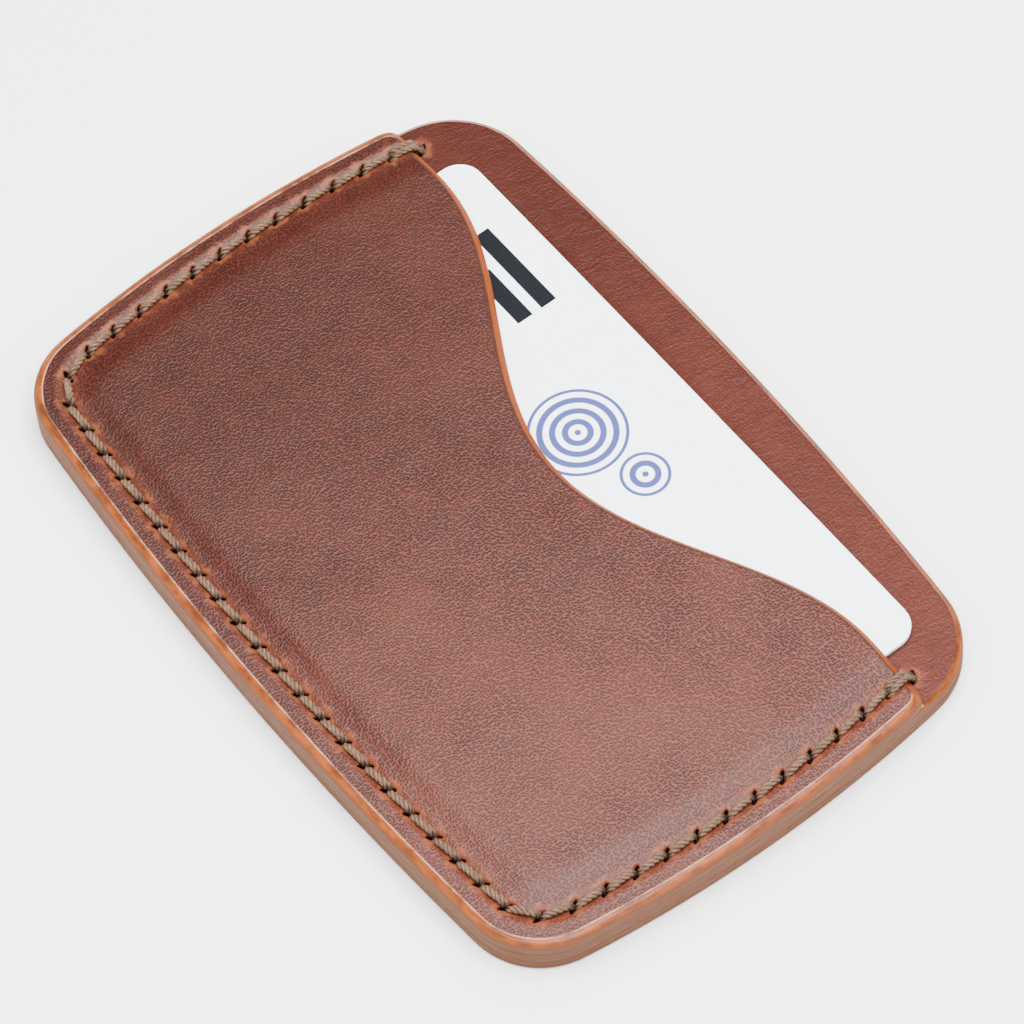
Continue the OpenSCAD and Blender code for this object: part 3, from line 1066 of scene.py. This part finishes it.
CEMENT_DARK, CEMENT_LIGHT = (0.16, 0.08, 0.045), (0.30, 0.17, 0.10)
FLOOR_GREY = (0.86, 0.865, 0.86, 1)


def cement_material():
    """Dried cement, only seen as a hair line between panels."""
    g = Graph("dried_cement")
    lumps = g.noise(g.position(), 1.4, 3.0, 0.6)
    g.set("Base Color", g.mix(g.remap(lumps, 0.3, 0.7), CEMENT_DARK, CEMENT_LIGHT))
    g.set("Roughness", g.remap(lumps, 0.2, 0.8, 0.5, 0.7))
    g.set("Normal", g.bump(lumps, 0.05 * MM, 0.6))
    return g.material


def floor_material():
    """A plain, matt, pale floor."""
    g = Graph("pale_floor")
    g.set("Base Color", FLOOR_GREY)
    g.set("Roughness", 0.8)
    return g.material


# ---------------------------------------------------------------- stage
# Places and sizes of the floor and the lights are in metres
FLOOR_HALF = 3.0
WORLD_COLOUR, WORLD_STRENGTH = (0.95, 0.97, 1.0, 1), 0.35
SOFTBOX_PLACE, SOFTBOX_SIZE, SOFTBOX_WATTS = (0.045, 0.02, 0.5), (0.5, 0.5), 11.5
SOFTBOX_COLOUR = (1.0, 0.99, 0.99)
FILL_PLACES = {"fill_right": (0.62, 0.26, 0.78), "fill_left": (-0.46, -0.66, 0.66),
               "fill_behind": (-0.5, 0.6, 0.8)}
FILL_SIZE, FILL_WATTS, FILL_COLOUR = (0.6, 0.6), 13.0, (1.0, 0.985, 0.97)


def build_floor():
    """A square floor at the level of the wallet's underside."""
    mesh = bpy.data.meshes.new("floor")
    corners = [(x * FLOOR_HALF, y * FLOOR_HALF, 0) for x, y in ((-1, -1), (1, -1), (1, 1), (-1, 1))]
    mesh.from_pydata(corners, [], [(0, 1, 2, 3)])
    floor = bpy.data.objects.new("floor", mesh)
    mesh.materials.append(floor_material())
    bpy.context.scene.collection.objects.link(floor)


def build_lights():
    """A softbox overhead, three fills that don't show in reflections, and a dim pale sky."""
    world = bpy.data.worlds.new("studio")
    bpy.context.scene.world = world
    world.use_nodes = True
    background = world.node_tree.nodes["Background"]
    background.inputs["Color"].default_value = WORLD_COLOUR
    background.inputs["Strength"].default_value = WORLD_STRENGTH
    area_light("softbox_above", SOFTBOX_PLACE, SOFTBOX_SIZE, SOFTBOX_WATTS, SOFTBOX_COLOUR)
    for name, place in FILL_PLACES.items():
        fill = area_light(name, place, FILL_SIZE, FILL_WATTS, FILL_COLOUR)
        fill.visible_glossy = False


def area_light(name, place, size, power, colour):
    """A light that faces the origin and isn't seen by the camera."""
    light = bpy.data.lights.new(name, "AREA")
    light.shape = "RECTANGLE"
    light.size, light.size_y = size
    light.energy = power
    light.color = colour
    obj = bpy.data.objects.new(name, light)
    obj.location = place
    obj.rotation_euler = (-Vector(place)).to_track_quat("-Z", "Y").to_euler()
    obj.visible_camera = False
    bpy.context.scene.collection.objects.link(obj)
    return obj


# The camera: where it looks, and from what side and distance, in degrees and millimetres
CAMERA_TARGET = (-1.06, 3.26, 0)
CAMERA_AZIMUTH, CAMERA_ELEVATION, CAMERA_ROLL = 57.66, 58.01, -5.41
CAMERA_DISTANCE = 761.5
CAMERA_LENS, CAMERA_SENSOR = 229.97, 36


def build_camera():
    """The camera looks down at the wallet's near right corner, rolled a little."""
    azimuth, elevation = math.radians(CAMERA_AZIMUTH), math.radians(CAMERA_ELEVATION)
    roll = math.radians(CAMERA_ROLL)
    back = Vector((math.sin(azimuth) * math.cos(elevation),
                   -math.cos(azimuth) * math.cos(elevation),
                   math.sin(elevation)))
    right = (-back).cross(Vector((0, 0, 1))).normalized()
    up = back.cross(right)
    x_axis = math.cos(roll) * right + math.sin(roll) * up
    y_axis = -math.sin(roll) * right + math.cos(roll) * up
    rotation = Matrix((x_axis, y_axis, back)).transposed()
    place = Vector(CAMERA_TARGET) * MM + back * (CAMERA_DISTANCE * MM)
    data = bpy.data.cameras.new("camera")
    data.lens = CAMERA_LENS
    data.sensor_width = CAMERA_SENSOR
    data.clip_start, data.clip_end = 0.05, 10
    camera = bpy.data.objects.new("camera", data)
    camera.matrix_world = Matrix.Translation(place) @ rotation.to_4x4()
    bpy.context.scene.collection.objects.link(camera)
    bpy.context.scene.camera = camera


# ---------------------------------------------------------------- build
build_camera()
build_floor()
build_lights()

pocket_leather = leather_material(
    "pocket_leather", dark=(0.015, 0.0032, 0.0022), light=(0.084, 0.0195, 0.0118),
    worn=(0.080, 0.0205, 0.0115), grain_size=0.36, grain_depth=0.026, pore_share=1.25,
    wrinkle_depth=0.015, lip_highlight_share=0.7, shine=0.2)
body_leather = leather_material(
    "body_leather", dark=(0.030, 0.0056, 0.0031), light=(0.074, 0.0142, 0.0075),
    worn=(0.078, 0.0165, 0.009), grain_size=0.36, grain_depth=0.02, pore_share=0.4,
    wrinkle_depth=0.09, lip_highlight_share=0.1, shine=0.15)
build_front_pocket(pocket_leather)
build_middle_panel(body_leather)
build_back_panel(body_leather)
build_thread(thread_material())
build_card(card_material())
dried_cement = cement_material()
for node in ("back_seam_cement", "pocket_seam_cement"):
    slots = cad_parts[node].data.materials
    slots.clear()
    slots.append(dried_cement)
